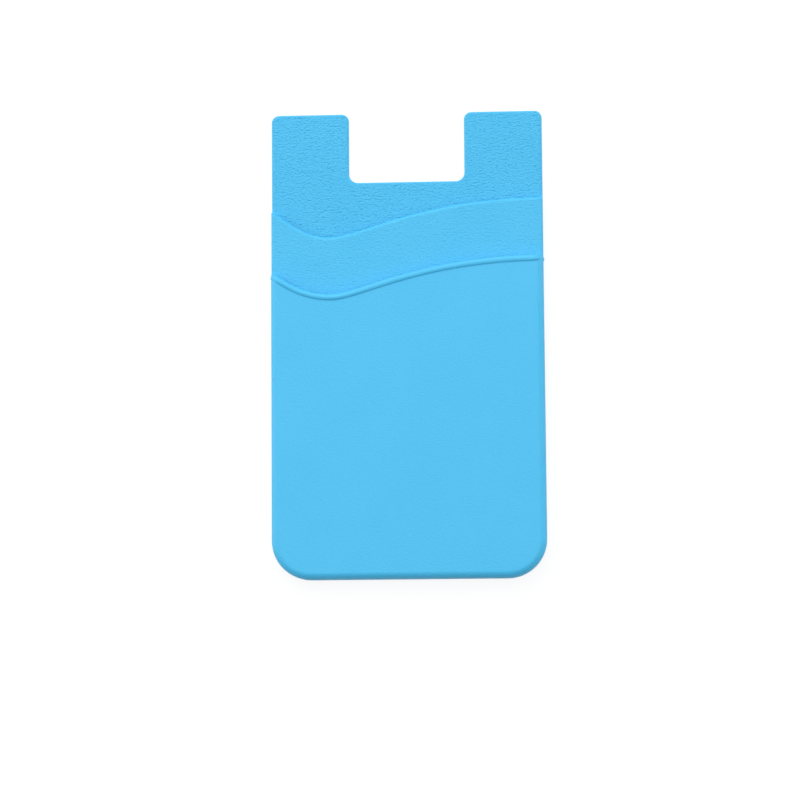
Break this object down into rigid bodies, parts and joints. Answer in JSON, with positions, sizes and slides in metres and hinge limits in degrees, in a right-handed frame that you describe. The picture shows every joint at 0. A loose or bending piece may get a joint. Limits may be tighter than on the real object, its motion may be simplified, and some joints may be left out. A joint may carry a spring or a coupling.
{
  "type": "stick-on phone card holder",
  "caption": "Flat silicone card sleeve with pockets behind wavy mouths and a U-shaped notch between tabs, stuck to the back of a phone by an adhesive sheet.",
  "frame": {"origin": "middle of the holder's plan on the outer face of the release liner, which is the part's lowest face", "axes": "+Z out of the front, away from the phone; +Y towards the two tabs; +X to the right, seen from the front"},
  "size_m": [0.0574, 0.0982, 0.005],
  "materials": {
    "silicone": "satin",
    "adhesive": "matte",
    "liner": "satin"
  },
  "bodies": {
    "root": {"silicone_sleeve": "silicone", "adhesive_sheet": "adhesive", "release_liner": "liner"}
  },
  "joints": []
}
